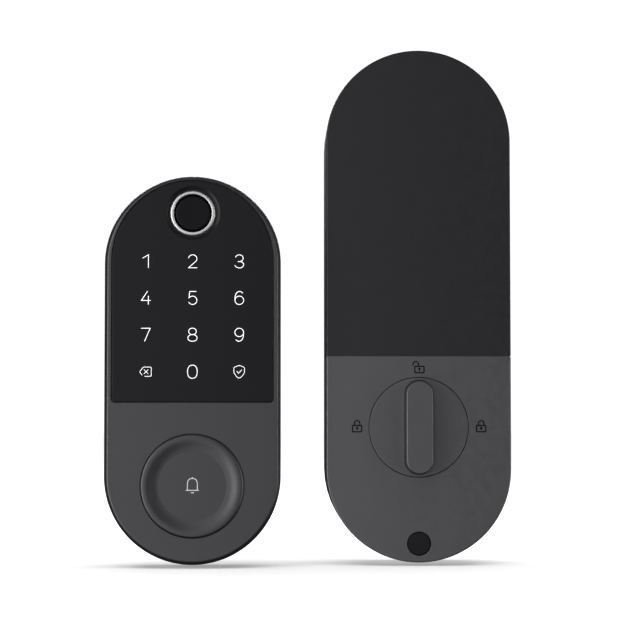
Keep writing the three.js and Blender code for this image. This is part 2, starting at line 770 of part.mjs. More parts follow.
function motorPinion() {
  const turn = MOTOR_ANGLE + Math.PI + Math.PI / TEETH.motor;
  const pinion = gear(TEETH.motor, turn, WHEEL_LAYER, ...ROTOR);
  return join(pinion, rod(1, WHEEL_LAYER[1] - 0.5, MOTOR.front - GAP, ...ROTOR, 12));
}

const driveMotor = () =>
  turned(
    [
      [0, MOTOR.front],
      [MOTOR.radius - 0.8, MOTOR.front],
      [MOTOR.radius, MOTOR.front + 0.8],
      [MOTOR.radius, MOTOR.back],
      [4, MOTOR.back],
      [4, MOTOR.back + 1.2],
      [0, MOTOR.back + 1.2],
    ],
    ...ROTOR,
    32,
  );

function gearPlate() {
  const [front, back] = GEAR_PLATE;
  const hole = (radius, x, z, steps = 12) => rod(radius, front - 1, back + 1, x, z, steps);
  return cut(
    slab(stadium(INTERIOR, INTERIOR.wall + 0.5), front, back).intersect(block([-60, 60], [-60, 20], [0, 75])),
    hole(8.4, 0, TURN_Z, 24),
    hole(3.2, ...ROTOR),
    hole(6 + GAP, 0, PLUG.z, 20),
    ...GEAR_POSTS.map(([x, z]) => hole(1.2, x, z, 8)),
  );
}

const turnBush = () =>
  turned(
    [
      [SHAFT_RADIUS + 0.36, -21.2],
      [8, -21.2],
      [8, -18.4],
      [SHAFT_RADIUS + 0.36, -18.4],
      [SHAFT_RADIUS + 0.36, -21.2],
    ],
    0,
    TURN_Z,
    24,
  );

// A soft plug with a chamfered face and a small finger nick.
const screwPlug = () =>
  cut(
    turned(
      [
        [0, FACE],
        [PLUG.radius - 0.25, FACE],
        [PLUG.radius, FACE + 0.25],
        [PLUG.radius, FACE + PLUG.length],
        [0, FACE + PLUG.length],
      ],
      0,
      PLUG.z,
      28,
    ),
    rod(3.2, FACE + 1.6, FACE + PLUG.length + PAST, 0, PLUG.z, 16),
  );

function buildDrive() {
  piece(interior, "thumb_turn", thumbTurn(), GREY_PAINT);
  piece(interior, "turn_shaft", turnShaft(), STEEL);
  piece(interior, "tailpiece", tailpiece(), STEEL);
  piece(interior, "output_gear", outputGear(), WHITE_PLASTIC);
  piece(interior, "idler_gear", idlerGear(), WHITE_PLASTIC);
  piece(interior, "idler_pin", rod(1.5, -30.9, GEAR_PLATE[0] - GAP, ...IDLER, 12), STEEL);
  piece(interior, "motor_pinion", motorPinion(), BRASS);
  piece(interior, "drive_motor", driveMotor(), STEEL);
  piece(interior, "gear_plate", gearPlate(), STEEL);
  piece(interior, "turn_bush", turnBush(), WHITE_PLASTIC);
  const gearScrew = screw(1.9, 1.3, 0.7, 6).rotate([0, 0, 180]);
  GEAR_POSTS.forEach(([x, z], i) =>
    piece(interior, `gear_screw_${i + 1}`, gearScrew, STEEL, [x, GEAR_PLATE[1] + GAP, z]),
  );
}

function buildInterior() {
  piece(interior, "interior_housing", interiorHousing(), GREY_PAINT);
  piece(interior, "battery_cover", batteryCover(), BLACK_PLASTIC);
  piece(interior, "interior_base", interiorBase(), DARK_PLASTIC);
  piece(interior, "mounting_plate", mountingPlate(), STEEL);
  piece(interior, "interior_chassis", interiorChassis(), DARK_PLASTIC);
  piece(interior, "interior_board", interiorBoard(), BOARD);
  piece(interior, "cable_socket", block([-7, 7], [-11.7, -6.5], [86, 92]), WHITE_PLASTIC);
  piece(interior, "screw_plug", screwPlug(), RUBBER);
  const fixing = screw(3.4, 2.2, 1.6, 12);
  const places = [[0, PLUG.z], [-FIXING_X, FIXING_Z], [FIXING_X, FIXING_Z]];
  places.forEach(([x, z], i) =>
    piece(interior, `fixing_screw_${i + 1}`, fixing, STEEL, [x, COUNTERBORE - GAP, z]),
  );
}

buildExterior();
buildInterior();
buildDrive();
buildBatteries();

export default lock;
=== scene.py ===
import math

import bmesh
import bpy
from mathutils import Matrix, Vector


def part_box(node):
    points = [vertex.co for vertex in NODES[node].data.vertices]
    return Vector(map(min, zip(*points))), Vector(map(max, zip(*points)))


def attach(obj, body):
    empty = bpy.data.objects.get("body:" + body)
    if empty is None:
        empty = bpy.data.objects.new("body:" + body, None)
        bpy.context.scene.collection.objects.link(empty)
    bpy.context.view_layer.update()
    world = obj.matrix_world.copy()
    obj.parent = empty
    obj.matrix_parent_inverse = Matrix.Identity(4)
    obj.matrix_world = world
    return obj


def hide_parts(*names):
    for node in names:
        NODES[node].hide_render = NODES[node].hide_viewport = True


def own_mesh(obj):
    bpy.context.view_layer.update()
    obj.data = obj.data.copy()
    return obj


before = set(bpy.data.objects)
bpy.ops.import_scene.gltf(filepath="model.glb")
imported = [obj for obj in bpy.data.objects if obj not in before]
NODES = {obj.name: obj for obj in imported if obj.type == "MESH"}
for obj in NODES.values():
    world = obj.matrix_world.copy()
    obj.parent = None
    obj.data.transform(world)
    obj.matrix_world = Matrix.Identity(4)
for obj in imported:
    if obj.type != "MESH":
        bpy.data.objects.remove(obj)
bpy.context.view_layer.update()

MM = 0.001
HALF_TURN = 180
FULL_TURN = 360

# ------------------------------------------------------------------ the two units


class Unit:
    """A unit's own frame, in mm: x from its centre line, depth behind its face, z above its foot."""

    def __init__(self, node, height=None):
        low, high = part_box(node)
        self.centre = (low.x + high.x) / 2
        self.front = low.y
        self.width = (high.x - low.x) / MM
        self.height = height or (high.z - low.z) / MM

    def at(self, x, depth, z):
        return Vector((self.centre + x * MM, self.front + depth * MM, z * MM))

    def depth(self, y):
        return (y - self.front) / MM


exterior = Unit("exterior_housing")
interior = Unit("interior_housing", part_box("battery_cover")[1].z / MM)
BELL_Z = sum(corner.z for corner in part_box("doorbell_button")) / 2 / MM
SENSOR_Z = sum(corner.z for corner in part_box("fingerprint_sensor")) / 2 / MM
TURN_Z = sum(corner.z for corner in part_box("thumb_turn")) / 2 / MM
PLUG_Z = sum(corner.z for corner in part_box("screw_plug")) / 2 / MM
PANEL_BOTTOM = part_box("keypad_panel")[0].z / MM
PANEL_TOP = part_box("keypad_panel")[1].z / MM
PANEL_HALF = (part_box("keypad_panel")[1].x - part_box("keypad_panel")[0].x) / 2 / MM
SEAM_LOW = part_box("interior_housing")[1].z / MM
SEAM_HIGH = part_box("battery_cover")[0].z / MM

WALL = 2.4  # of both housings
PAST = 1.0  # how far a cutting tool runs past what it cuts

# ------------------------------------------------------------------ camera

CAMERA_DISTANCE = 0.7986  # in front of the exterior unit's face
CAMERA_X = -0.014
CAMERA_Z = 0.056
AIM_X = -0.0005  # where the line of sight meets the exterior unit's face
AIM_Z = 0.0962
LENS = 124.0  # in mm, with the width of the picture behind it
PICTURE_WIDTH = 36.0


def make_camera():
    data = bpy.data.cameras.new("camera")
    data.sensor_width = PICTURE_WIDTH
    data.lens = LENS
    data.clip_start = 0.05
    data.clip_end = 20
    camera = bpy.data.objects.new("camera", data)
    bpy.context.scene.collection.objects.link(camera)
    place = Vector((CAMERA_X, exterior.front - CAMERA_DISTANCE, CAMERA_Z))
    aim = Vector((AIM_X, exterior.front, AIM_Z))
    camera.location = place
    camera.rotation_euler = (aim - place).to_track_quat("-Z", "Y").to_euler()
    bpy.context.scene.camera = camera


make_camera()

# ------------------------------------------------------------------ outlines, in mm


def arc(x, z, radius, start, end, steps, stretch=1.0):
    """Points on an arc, in degrees, both ends included. stretch is its height over its width."""
    turns = [math.radians(start + (end - start) * i / steps) for i in range(steps + 1)]
    return [(x + radius * math.cos(t), z + radius * stretch * math.sin(t)) for t in turns]


def stadium(unit, inset=0.0, steps=72):
    radius = unit.width / 2 - inset
    low, high = unit.width / 2, unit.height - unit.width / 2
    return arc(0, high, radius, 0, HALF_TURN, steps) + arc(0, low, radius, HALF_TURN, FULL_TURN, steps)


PANEL_CORNER = 1.3
LEAST_CORNER = 0.3


def panel(inset=0.0, steps=72):
    half = PANEL_HALF - inset
    bottom = PANEL_BOTTOM + inset
    corner = max(PANEL_CORNER - inset, LEAST_CORNER)
    return (
        arc(0, PANEL_TOP - PANEL_HALF, half, 0, HALF_TURN, steps)
        + arc(corner - half, bottom + corner, corner, HALF_TURN, 270, 8)
        + arc(half - corner, bottom + corner, corner, 270, FULL_TURN, 8)
    )


def circle(x, z, radius, steps=128):
    return arc(x, z, radius, 0, FULL_TURN, steps)[:-1]


def upright_slot(x, z, length, width, steps=24):
    radius = width / 2
    reach = length / 2 - radius
    top = arc(x, z + reach, radius, 0, HALF_TURN, steps)
    return top + arc(x, z - reach, radius, HALF_TURN, FULL_TURN, steps)


def level_slot(x, z, length, width, steps=16):
    radius = width / 2
    reach = length / 2 - radius
    return arc(x + reach, z, radius, -90, 90, steps) + arc(x - reach, z, radius, 90, 270, steps)


def round_edge(inset, depth, radius, steps=8):
    """(inset, depth) pairs round a front edge, from the side wall to the face."""
    pairs = []
    for i in range(steps + 1):
        turn = math.radians(90 * i / steps)
        pairs.append((inset + radius * (1 - math.cos(turn)), depth + radius * (1 - math.sin(turn))))
    return pairs


SHOULDER_START = [(0.0, 2.6), (0.1, 2.0), (0.35, 1.32), (0.7, 0.74)]  # up from the side wall


def shoulder(width, rounding=0.85, steep=62, steps=8):
    """(inset, depth) pairs of a steep curved shoulder that ends in a small rounding on the face."""
    pairs = list(SHOULDER_START)
    for i in range(steps + 1):
        turn = math.radians(steep * (1 - i / steps))
        pairs.append((width - rounding * math.sin(turn), rounding * (1 - math.cos(turn))))
    return pairs


def smooth_profile(points, steps=6):
    """A soft curve through (radius, depth) points."""
    out = []
    count = len(points)
    for i in range(count - 1):
        p0, p1, p2, p3 = (Vector(points[max(0, min(count - 1, i + k))]) for k in (-1, 0, 1, 2))
        for j in range(steps):
            t = j / steps
            out.append(
                tuple(
                    0.5
                    * (
                        2 * p1
                        + (p2 - p0) * t
                        + (2 * p0 - 5 * p1 + 4 * p2 - p3) * t * t
                        + (3 * p1 - p0 - 3 * p2 + p3) * t**3
                    )
                )
            )
    return out + [tuple(points[-1])]


# ------------------------------------------------------------------ meshes


def mesh_object(name, bm, material=None):
    bmesh.ops.recalc_face_normals(bm, faces=bm.faces)
    mesh = bpy.data.meshes.new(name)
    bm.to_mesh(mesh)
    bm.free()
    obj = bpy.data.objects.new(name, mesh)
    bpy.context.scene.collection.objects.link(obj)
    if material:
        mesh.materials.append(material)
    return obj


def loft(bm, rings):
    """Quads between rings of world points, with flat caps."""
    loops = [[bm.verts.new(p) for p in ring] for ring in rings]
    for a, b in zip(loops, loops[1:]):
        for i in range(len(a)):
            j = (i + 1) % len(a)
            bm.faces.new((a[i], a[j], b[j], b[i]))
    bm.faces.new(loops[0])
    bm.faces.new(loops[-1])
    return bm


def prism(name, unit, outline, front, back):
    rings = [[unit.at(x, depth, z) for x, z in outline] for depth in (front, back)]
    return mesh_object(name, loft(bmesh.new(), rings))


def profiled(name, unit, outline, pairs):
    """A solid whose outline changes with depth: outline(inset) at each (inset, depth)."""
    rings = [[unit.at(x, depth, z) for x, z in outline(inset)] for inset, depth in pairs]
    return mesh_object(name, loft(bmesh.new(), rings))


def turned(name, unit, profile, x, z, steps=128, closed=False):
    """A (radius, depth) profile turned about the depth axis through (x, z).

    A closed profile makes a ring. An open one starts and ends on the axis."""
    bm = bmesh.new()
    rings = []
    for radius, depth in profile:
        if radius == 0:
            rings.append([bm.verts.new(unit.at(x, depth, z))])
        else:
            rings.append([bm.verts.new(unit.at(px, depth, pz)) for px, pz in circle(x, z, radius, steps)])
    if closed:
        rings.append(rings[0])
    for a, b in zip(rings, rings[1:]):
        for i in range(steps):
            j = (i + 1) % steps
            if len(a) == 1 and len(b) == 1:
                continue
            if len(a) == 1:
                bm.faces.new((a[0], b[j], b[i]))
            elif len(b) == 1:
                bm.faces.new((a[i], a[j], b[0]))
            else:
                bm.faces.new((a[i], a[j], b[j], b[i]))
    return mesh_object(name, bm)


def remove(obj):
    mesh = obj.data
    bpy.data.objects.remove(obj)
    bpy.data.meshes.remove(mesh)


def bake_modifiers(obj):
    depsgraph = bpy.context.evaluated_depsgraph_get()
    mesh = bpy.data.meshes.new_from_object(obj.evaluated_get(depsgraph), depsgraph=depsgraph)
    old = obj.data
    obj.modifiers.clear()
    obj.data = mesh
    mesh.name = obj.name
    bpy.data.meshes.remove(old)


def boolean(obj, tools, operation="DIFFERENCE"):
    for tool in tools:
        modifier = obj.modifiers.new("cut", "BOOLEAN")
        modifier.operation = operation
        modifier.solver = "EXACT"
        modifier.object = tool
        bake_modifiers(obj)
        remove(tool)
    return obj


def soften(obj, width=0.15, segments=2, angle=38, sharp=30):
    """Small bevels on the hard edges, and smooth shading everywhere else."""
    if width:
        modifier = obj.modifiers.new("edges", "BEVEL")
        modifier.width = width * MM
        modifier.segments = segments
        modifier.limit_method = "ANGLE"
        modifier.angle_limit = math.radians(angle)
        modifier.use_clamp_overlap = True
        modifier.harden_normals = False
        bake_modifiers(obj)
    mesh = obj.data
    mesh.polygons.foreach_set("use_smooth", [True] * len(mesh.polygons))
    mesh.set_sharp_from_angle(angle=math.radians(sharp))
    modifier = obj.modifiers.new("normals", "WEIGHTED_NORMAL")
    modifier.keep_sharp = True
    modifier.weight = 90
    bake_modifiers(obj)


def finish_piece(obj, material, body, slot, *nodes):
    obj.data.materials.clear()
    obj.data.materials.append(material)
    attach(obj, body)
    if nodes:
        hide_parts(*nodes)


# ------------------------------------------------------------------ materials


class Shader:
    """A principled material with object coordinates, in metres, and a few shorthands for its nodes."""

    def __init__(self, name, colour, roughness, metallic=0.0, specular=0.5):
        self.material = bpy.data.materials.new(name)
        self.material.use_nodes = True
        self.nodes = self.material.node_tree.nodes
        self.links = self.material.node_tree.links
        self.shader = self.nodes["Principled BSDF"]
        self.set("Base Color", (*colour, 1))
        self.set("Roughness", roughness)
        self.set("Metallic", metallic)
        self.set("Specular IOR Level", specular)
        self.coordinates = self.nodes.new("ShaderNodeTexCoord").outputs["Object"]
        self.colour = colour

    def set(self, socket, value):
        self.shader.inputs[socket].default_value = value

    def noise(self, scale, detail=3.0, rough=0.55, stretch=None):
        node = self.nodes.new("ShaderNodeTexNoise")
        node.inputs["Scale"].default_value = scale
        node.inputs["Detail"].default_value = detail
        node.inputs["Roughness"].default_value = rough
        source = self.coordinates
        if stretch:
            mapping = self.nodes.new("ShaderNodeMapping")
            mapping.inputs["Scale"].default_value = stretch
            self.links.new(source, mapping.inputs["Vector"])
            source = mapping.outputs["Vector"]
        self.links.new(source, node.inputs["Vector"])
        return node.outputs["Fac"]

    def spots(self, scale):
        node = self.nodes.new("ShaderNodeTexVoronoi")
        node.inputs["Scale"].default_value = scale
        self.links.new(self.coordinates, node.inputs["Vector"])
        return node.outputs["Distance"]

    def ramp(self, source, low, high, start=0.3, end=0.7):
        node = self.nodes.new("ShaderNodeMapRange")
        node.inputs["From Min"].default_value = start
        node.inputs["From Max"].default_value = end
        node.inputs["To Min"].default_value = low
        node.inputs["To Max"].default_value = high
        self.links.new(source, node.inputs["Value"])
        return node.outputs["Result"]

    def tint(self, source, low, high, start=0.3, end=0.7):
        """Base colour between low and high times the material's own."""
        node = self.nodes.new("ShaderNodeMix")
        node.data_type = "RGBA"
        a, b = (tuple(min(1.0, c * f) for c in self.colour) + (1,) for f in (low, high))
        node.inputs["A"].default_value = a
        node.inputs["B"].default_value = b
        self.links.new(self.ramp(source, 0, 1, start, end), node.inputs["Factor"])
        self.links.new(node.outputs["Result"], self.shader.inputs["Base Color"])
        return self

    def vary_roughness(self, source, low, high, start=0.3, end=0.7):
        self.links.new(self.ramp(source, low, high, start, end), self.shader.inputs["Roughness"])
        return self

    def bump(self, source, height):
        """Relief of a height in mm, on top of any that is there already."""
        node = self.nodes.new("ShaderNodeBump")
        node.inputs["Strength"].default_value = 1.0
        node.inputs["Distance"].default_value = height * MM
        self.links.new(source, node.inputs["Height"])
        if self.shader.inputs["Normal"].is_linked:
            self.links.new(self.shader.inputs["Normal"].links[0].from_socket, node.inputs["Normal"])
        self.links.new(node.outputs["Normal"], self.shader.inputs["Normal"])
        return self


def satin_paint(name, colour, roughness=0.42, specular=0.5):
    """Sprayed satin paint: a fine orange peel and a faint metallic fleck."""
    s = Shader(name, colour, roughness, 0.0, specular)
    s.tint(s.noise(2600, 2), 0.95, 1.05)
    s.vary_roughness(s.noise(420, 4), roughness - 0.04, roughness + 0.04)
    s.bump(s.noise(1500, 3), 0.006).bump(s.noise(140, 2), 0.01)
    return s


def moulded(name, colour, roughness=0.55, grain=0.012, specular=0.4):
    """Moulded plastic with a spark-eroded grain."""
    s = Shader(name, colour, roughness, 0.0, specular)
    s.tint(s.noise(900, 4), 0.94, 1.06)
    s.vary_roughness(s.noise(300, 4), roughness - 0.05, roughness + 0.05)
    s.bump(s.spots(2400), grain).bump(s.noise(90, 2), 0.01)
    return s


def metal(name, colour, roughness=0.3, stretch=None, scale=1200, wear=1.0):
    """Bare or plated metal. wear is how uneven its polish is; stretch draws its grain into brush marks."""
    s = Shader(name, colour, roughness, 1.0)
    s.tint(s.noise(160, 4), 1 - 0.07 * wear, 1 + 0.05 * wear)
    smooth, rough = roughness * (1 - 0.25 * wear), roughness * (1 + 0.3 * wear)
    s.vary_roughness(s.noise(scale, 3, stretch=stretch), smooth, rough)
    s.bump(s.noise(scale, 3, stretch=stretch), 0.004 * wear)
    return s


def glossy(name, colour, roughness, specular=0.5):
    """Hard polished plastic or coated glass: nearly flat, with a little haze."""
    s = Shader(name, colour, roughness, 0.0, specular)
    s.tint(s.noise(60, 3), 0.98, 1.02)
    s.vary_roughness(s.noise(900, 3), roughness * 0.95, roughness * 1.06)
    s.bump(s.noise(1800, 2), 0.001)
    return s


EXTERIOR_GREY = (0.0215, 0.0215, 0.0228)
INTERIOR_GREY = (0.035, 0.0356, 0.0372)
PAINT_SHEEN = 0.38  # roughness of the grey paint
EXTERIOR_PAINT = satin_paint("exterior_grey_paint", EXTERIOR_GREY, PAINT_SHEEN, 1.0)
BELL_PAINT = satin_paint("doorbell_grey_paint", EXTERIOR_GREY, PAINT_SHEEN, 1.0)
INTERIOR_PAINT = satin_paint("interior_grey_paint", INTERIOR_GREY, PAINT_SHEEN, 1.0)
INTERIOR_PAINT.set("IOR", 1.7)
TURN_PAINT = satin_paint("thumb_turn_grey_paint", INTERIOR_GREY, PAINT_SHEEN, 1.0)
TURN_PAINT.set("IOR", 1.7)
PANEL_GLASS = glossy("keypad_black_gloss", (0.0092, 0.0092, 0.0099), 0.3, 0.2)
SENSOR_GLASS = glossy("sensor_black", (0.005, 0.005, 0.0057), 0.35, 0.15)
COVER_PLASTIC = moulded("battery_cover_black", (0.0122, 0.0122, 0.0129), 0.42, 0.006, 0.5)
DARK_PLASTIC = moulded("dark_moulded_plastic", (0.018, 0.018, 0.019), 0.6)
CHASSIS_PLASTIC = moulded("chassis_moulded_plastic", (0.02, 0.02, 0.021), 0.55)
RUBBER = moulded("soft_black_rubber", (0.0115, 0.0115, 0.012), 0.8, 0.02, 0.25)
PLUG_RUBBER = moulded("plug_black_rubber", (0.0085, 0.0085, 0.009), 0.7, 0.01, 0.2)
WHITE_PLASTIC = moulded("white_moulded_plastic", (0.72, 0.71, 0.67), 0.5)
RING_METAL = metal("polished_ring", (0.9, 0.89, 0.86), 0.45, None, 700, 0.1)
STEEL = metal("zinc_plated_steel", (0.5, 0.51, 0.52), 0.34)
PLATE_STEEL = metal("plated_steel_sheet", (0.66, 0.665, 0.67), 0.45, None, 1500, 0.12)
SPRING_STEEL = metal("spring_steel", (0.55, 0.54, 0.52), 0.22)
BRASS = metal("machined_brass", (0.62, 0.46, 0.2), 0.28, (1, 0.03, 1), 1500)


def board_material():
    """Green solder mask with rows of fine tracks under it."""
    s = Shader("circuit_board_green", (0.014, 0.11, 0.05), 0.3)
    tracks = s.nodes.new("ShaderNodeTexBrick")
    tracks.inputs["Scale"].default_value = 260
    tracks.inputs["Mortar Size"].default_value = 0.06
    tracks.inputs["Color1"].default_value = (0.012, 0.1, 0.045, 1)
    tracks.inputs["Color2"].default_value = (0.016, 0.125, 0.055, 1)
    tracks.inputs["Mortar"].default_value = (0.05, 0.26, 0.1, 1)
    swap = s.nodes.new("ShaderNodeMapping")
    swap.inputs["Rotation"].default_value = (math.pi / 2, 0, 0)
    s.links.new(s.coordinates, swap.inputs["Vector"])
    s.links.new(swap.outputs["Vector"], tracks.inputs["Vector"])
    s.links.new(tracks.outputs["Color"], s.shader.inputs["Base Color"])
    s.vary_roughness(s.noise(200, 3), 0.25, 0.4)
    s.bump(tracks.outputs["Fac"], 0.02)
    return s


BOARD = board_material()


def glowing_print(name, colour, glow):
    """Signs with an emission glow that keeps them evenly bright: on the keypad it is the keys' back-light,
    on the printed doorbell sign it is painted light.
    """
    s = Shader(name, colour, 0.5, 0.0, 0.2)
    s.tint(s.noise(3000, 2), 0.97, 1.0)
    s.set("Emission Color", (*colour, 1))
    s.set("Emission Strength", glow)
    return s


DIGIT_PRINT = glowing_print("keypad_white_print", (0.86, 0.86, 0.87), 1.25)
# the doorbell sign is printed, so its glow is painted light
BELL_PRINT_PAINTED_GLOW = glowing_print("doorbell_grey_print_painted_glow", (0.6, 0.6, 0.61), 0.3)
DARK_PRINT = Shader("dark_print", (0.006, 0.006, 0.0063), 0.7, 0.0, 0.05)
DARK_PRINT.tint(DARK_PRINT.noise(3000, 2), 0.9, 1.1)

# ------------------------------------------------------------------ exterior unit

SHELL_DEPTH = exterior.depth(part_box("exterior_housing")[1].y)
EXTERIOR_EDGE = 1.7  # width of the front edge: a steep shoulder, then a small rounding
EXTERIOR_FACE = 3.6  # depth of the hollow behind the front face
THROUGH_FACE = 4.6  # depth of a cut that opens into the hollow
PORT_Y = sum(corner.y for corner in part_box("emergency_power_port")) / 2
PORT_WIDTH, PORT_HEIGHT, PORT_REACH = 9.6, 3.8, 4.0
PANEL_THICK = 2.0
PANEL_SEAM = 0.45  # gap round the panel
PANEL_SEAT = 2.3  # depth of the seat that the panel lies in
PANEL_SUNK = 0.02  # how far the panel's face lies behind the housing's
PANEL_EDGE = 0.35  # rounding of its edge
WINDOW_INSET = 2.2  # width of the seat all round
BELL_BORE = 19.65


def exterior_housing():
    shell = profiled(
        "housing_shell",
        exterior,
        lambda inset: stadium(exterior, inset),
        [(0, SHELL_DEPTH), *shoulder(EXTERIOR_EDGE)],
    )
    port = level_slot(0, exterior.depth(PORT_Y), PORT_WIDTH, PORT_HEIGHT)
    slot = mesh_object(
        "port_cut",
        loft(bmesh.new(), [[exterior.at(x, depth, z) for x, depth in port] for z in (-PAST, PORT_REACH)]),
    )
    boolean(
        shell,
        [
            prism("cavity", exterior, stadium(exterior, WALL), EXTERIOR_FACE, SHELL_DEPTH + PAST),
            prism("recess", exterior, panel(-PANEL_SEAM), -PAST, PANEL_SEAT),
            prism("window", exterior, panel(WINDOW_INSET), 0, THROUGH_FACE),
            prism("bore", exterior, circle(0, BELL_Z, BELL_BORE), -PAST, THROUGH_FACE),
            slot,
        ],
    )
    soften(shell, width=0.16)
    finish_piece(shell, EXTERIOR_PAINT.material, "lock", "grey_paint", "exterior_housing")


# (radius, depth) profiles of the fingerprint reader, from its axis outwards
RECESS_RIM = [(0, -PAST), (10.5, -PAST), (10.38, 0)]
RECESS_SLOPE = [(10.3, 0.02), (9.9, 0.19), (9.5, 0.38), (9.25, 0.6), (9.05, 0.66)]
RECESS_BORE = [(8.56, 0.66), (8.56, 3), (0, 3)]
RING_FACE = [
    (7.18, 3.1), (7.18, 0.2), (7.21, 0.05), (7.3, -0.05), (7.43, -0.09), (7.85, -0.07), (8.12, -0.04),
    (8.27, 0.02), (8.34, 0.12), (8.36, 0.3),
]
RING_FLANGE = [(8.36, 2.3), (9.6, 2.3), (9.6, 3.1)]
SENSOR_MIDDLE = (0, 0.62)
SENSOR_FACE = [(3.0, 0.61), (5.6, 0.58), (6.2, 0.64), (6.5, 0.9)]
SENSOR_BACK = [(6.5, 6.6), (0, 6.6)]


def keypad_panel():
    glass = profiled(
        "panel_glass", exterior, panel, [(0, PANEL_THICK), *round_edge(0, PANEL_SUNK, PANEL_EDGE, 5)]
    )
    profile = RECESS_RIM + smooth_profile(RECESS_SLOPE) + RECESS_BORE
    recess = turned("recess_cut", exterior, profile, 0, SENSOR_Z)
    boolean(glass, [recess])
    soften(glass, width=0)
    finish_piece(glass, PANEL_GLASS.material, "lock", "black_gloss", "keypad_panel")


def fingerprint_reader():
    ring = turned("reader_ring", exterior, RING_FACE + RING_FLANGE, 0, SENSOR_Z, closed=True)
    soften(ring, width=0, sharp=40)
    finish_piece(ring, RING_METAL.material, "lock", "bright_metal", "fingerprint_bezel")
    profile = [SENSOR_MIDDLE, *smooth_profile(SENSOR_FACE, 5), *SENSOR_BACK]
    sensor = turned("reader_sensor", exterior, profile, 0, SENSOR_Z)
    soften(sensor, width=0, sharp=40)
    finish_piece(sensor, SENSOR_GLASS.material, "lock", "sensor", "fingerprint_sensor")


# (radius, depth) profile of the doorbell push: its dish and rim, then its flange, hollow back and plunger
BELL_DISH = [
    (0, 0.15), (6, 0.15), (12.4, 0.15), (13.3, 0.12), (14.2, 0.02), (15.0, -0.14), (15.7, -0.32),
    (16.3, -0.48), (16.9, -0.62), (17.4, -0.69), (17.9, -0.71), (18.4, -0.69), (18.85, -0.62),
    (19.15, -0.44), (19.35, -0.15), (19.42, 0.2),
]
BELL_BACK = [
    (19.42, 3.9), (21, 3.9), (21, 5.3), (17.3, 5.3), (17.3, 2.8), (3, 2.8), (3, 7.1), (0, 7.1),
]


def doorbell_button():
    profile = smooth_profile(BELL_DISH) + BELL_BACK
    push = turned("doorbell_push", exterior, profile, 0, BELL_Z, steps=160)
    soften(push, width=0, sharp=40)
    finish_piece(push, BELL_PAINT.material, "bell", "grey_paint", "doorbell_button")


SPRING_WIRE = 0.45  # radius, in mm
SPRING_TURNS = 3
SPRING_END = 0.11  # share of the wire that lies flat at either end
STEPS_A_TURN = 48
WIRE_SIDES = 10


def doorbell_spring():
    """A coil with flat ends."""
    low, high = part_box("doorbell_spring")
    middle = (low + high) / 2
    wire = SPRING_WIRE * MM
    radius = (high.x - low.x) / 2 - wire
    steps = STEPS_A_TURN * SPRING_TURNS
    rings = []
    for i in range(steps + 1):
        turn = math.radians(FULL_TURN * SPRING_TURNS * i / steps)
        rise = min(1, max(0, (i / steps - SPRING_END) / (1 - 2 * SPRING_END)))
        y = high.y - wire - (high.y - low.y - 2 * wire) * rise * rise * (3 - 2 * rise)
        out = Vector((math.cos(turn), 0, math.sin(turn)))
        centre = Vector((middle.x, y, middle.z)) + out * radius
        section = circle(0, 0, 1, WIRE_SIDES)
        rings.append([centre + out * px * wire + Vector((0, pz * wire, 0)) for px, pz in section])
    coil = mesh_object("return_coil", loft(bmesh.new(), rings))
    soften(coil, width=0, sharp=60)
    finish_piece(coil, SPRING_STEEL.material, "lock", "steel", "doorbell_spring")
    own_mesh(coil)


exterior_housing()
keypad_panel()
fingerprint_reader()
doorbell_button()
doorbell_spring()

# ------------------------------------------------------------------ interior unit

INTERIOR_SHELL = interior.depth(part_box("interior_housing")[1].y)
INTERIOR_EDGE = 0.6  # rounding of the front edge
INTERIOR_FACE = 3.0  # depth of the hollow behind the lower housing's face
INTERIOR_THROUGH = 5  # depth of a cut that opens into the hollow
RIDGE = 1.1  # inset of the ridge that stands inside the battery cover's edge
RIDGE_HEIGHT = 1.2
REBATE = 0.8  # inset of the cut in the battery cover that clears the ridge
SEAM_INSET = 0.3  # the seam is a groove this deep all round
SEAM_SLIT = 0.03  # left open between the bottom of that groove and the cover
TURN_BORE = 19.17
PLUG_TUBE, PLUG_TUBE_START = 6, 2  # radius and depth of the tube round the plug and its screw
PLUG_BORE, PLUG_BORE_DEPTH = 4.6, 23.5
SCREW_BORE, SCREW_BORE_START = 1.9, 20
COVER_WALL = 2.0
COVER_FACE = 2.2
# the battery cover's lips, which slide in the chassis's channels
LIP_SIDES = (31.6, 34)
LIP_DEPTHS = (22.8, 24.4)
LIP_HEIGHTS = (SEAM_HIGH + 2, 156)
# a slab between two heights takes in the whole unit
WIDE, NEAR_SIDE, FAR_SIDE = 60, -20, 90
BELOW, ABOVE = -5, 260


def slab(name, low, high):
    """Everything of the interior unit between two heights."""
    corners = [(-WIDE, NEAR_SIDE), (WIDE, NEAR_SIDE), (WIDE, FAR_SIDE), (-WIDE, FAR_SIDE)]
    rings = [[interior.at(x, depth, z) for x, depth in corners] for z in (low, high)]
    return mesh_object(name, loft(bmesh.new(), rings))


def interior_cavity(wall=WALL, face=INTERIOR_FACE):
    return prism("cavity", interior, stadium(interior, wall), face, INTERIOR_SHELL + PAST)


def interior_shell(name):
    return profiled(
        name,
        interior,
        lambda inset: stadium(interior, inset),
        [(0, INTERIOR_SHELL), *round_edge(0, 0, INTERIOR_EDGE)],
    )


def seam_collar(name, inset, low, high):
    """A band at the seam between two heights, hollow like the lower housing and inset from its outside."""
    collar = prism(name, interior, stadium(interior, inset), inset, INTERIOR_SHELL)
    boolean(collar, [interior_cavity()])
    return boolean(collar, [slab("keep", low, high)], "INTERSECT")


